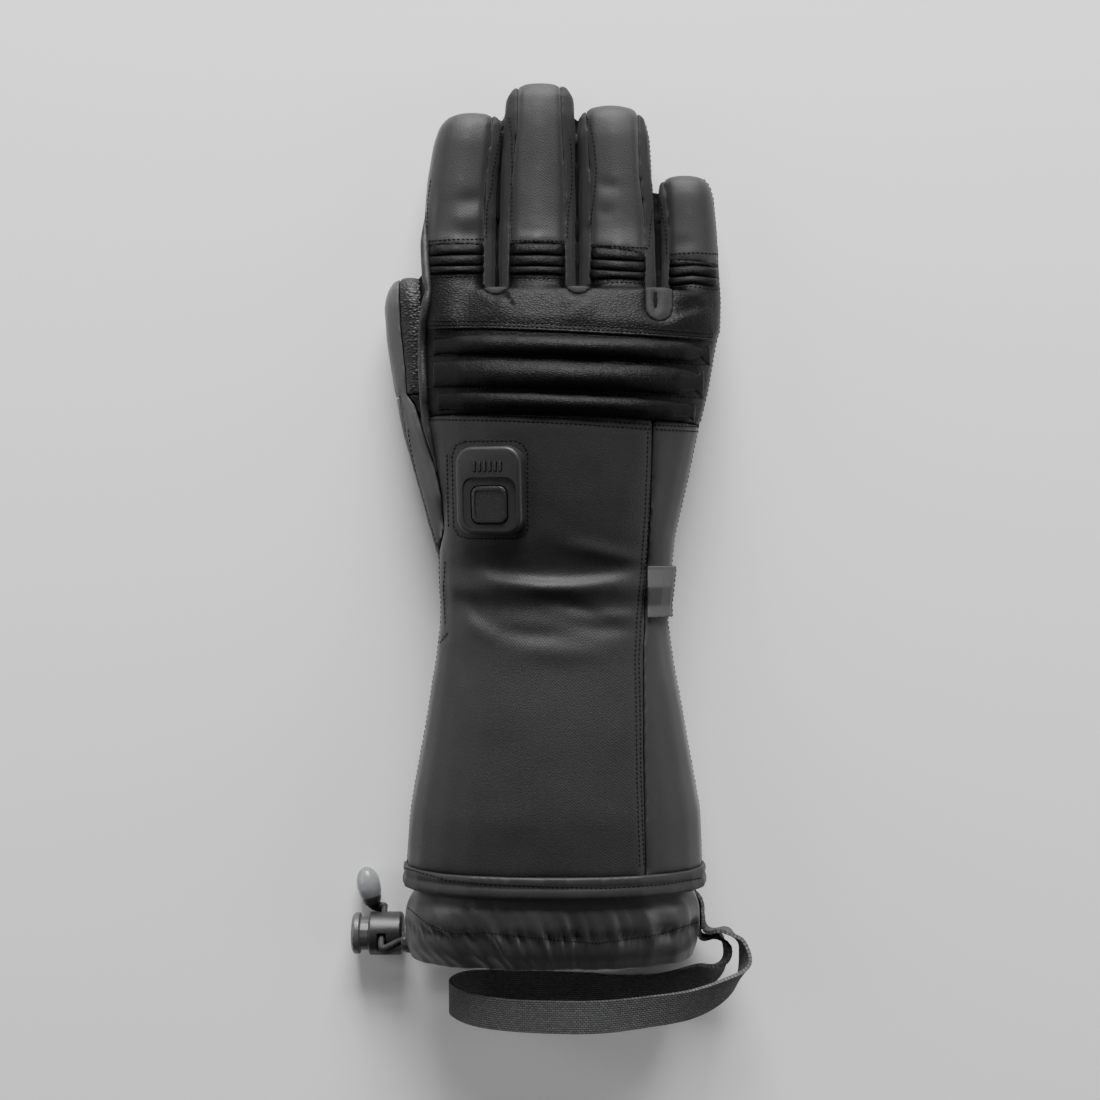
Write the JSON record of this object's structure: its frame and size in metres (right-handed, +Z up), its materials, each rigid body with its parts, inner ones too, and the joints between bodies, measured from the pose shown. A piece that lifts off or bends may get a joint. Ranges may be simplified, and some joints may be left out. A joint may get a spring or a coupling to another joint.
{
  "type": "heated_glove",
  "caption": "Heated winter sport glove, right hand, with long gauntlet cuff, snow skirt, drawcord lock and wrist leash, lying palm down",
  "frame": {"origin": "Bottom centre of the whole glove as it lies palm down", "axes": "+X runs across the back of the hand from the thumb side to the little finger side, +Y runs from the cuff to the fingertips, +Z points up out of the back of the hand"},
  "size_m": [0.1624, 0.3808, 0.0619],
  "materials": {
    "softshell": "matte woven twill",
    "stretch": "smooth matte stretch cloth",
    "fourchette": "matte woven cloth",
    "knuckle_leather": "fine grain with a soft sheen",
    "palm_leather": "pebbled grain",
    "binding": "woven tape",
    "skirt": "thin nylon with a slight sheen",
    "elastic": "knitted elastic tape",
    "cord": "braided elastic cord",
    "controller": "satin moulded rubber",
    "button": "satin",
    "lock": "moulded plastic",
    "lock_flange": "moulded plastic",
    "clear_cap": "translucent light grey"
  },
  "bodies": {
    "glove": {"fourchette_index_middle": "fourchette", "fourchette_middle_ring": "fourchette", "fourchette_ring_little": "fourchette", "finger_back_index": "softshell", "finger_back_middle": "softshell", "finger_back_ring": "softshell", "finger_back_little": "softshell", "knuckle_leather": "knuckle_leather", "side_panel": "stretch", "back_softshell": "softshell", "thumb_gusset": "stretch", "thumb_softshell": "softshell", "thumb_leather": "palm_leather", "palm_leather": "palm_leather", "gauntlet_underside": "softshell", "knuckle_rib_1": "knuckle_leather", "knuckle_rib_2": "knuckle_leather", "knuckle_rib_3": "knuckle_leather", "finger_pad_index": "knuckle_leather", "finger_pad_middle": "knuckle_leather", "finger_pad_ring": "knuckle_leather", "finger_pad_little": "knuckle_leather", "hem_binding": "binding", "wrist_tab": "stretch", "snow_skirt": "skirt", "cord_channel_mouth": "skirt", "controller_housing": "controller", "wrist_leash": "elastic", "cord_lock_barrel": "lock", "drawcord": "cord", "cord_end": "lock", "cord_end_cap": "clear_cap"},
    "plunger": {"cord_lock_plunger": "lock_flange"},
    "button": {"heat_button": "button"}
  },
  "joints": [
    {"name": "cord_lock_press", "type": "slide", "parent": "glove", "child": "plunger", "axis": [1, 0, 0], "range_m": [0, 0.003], "stiffness_N_per_m": 300},
    {"name": "heat_button_press", "type": "slide", "parent": "glove", "child": "button", "axis": [0.2887, 0.0819, -0.9539], "range_m": [0, 0.0008], "stiffness_N_per_m": 600}
  ]
}
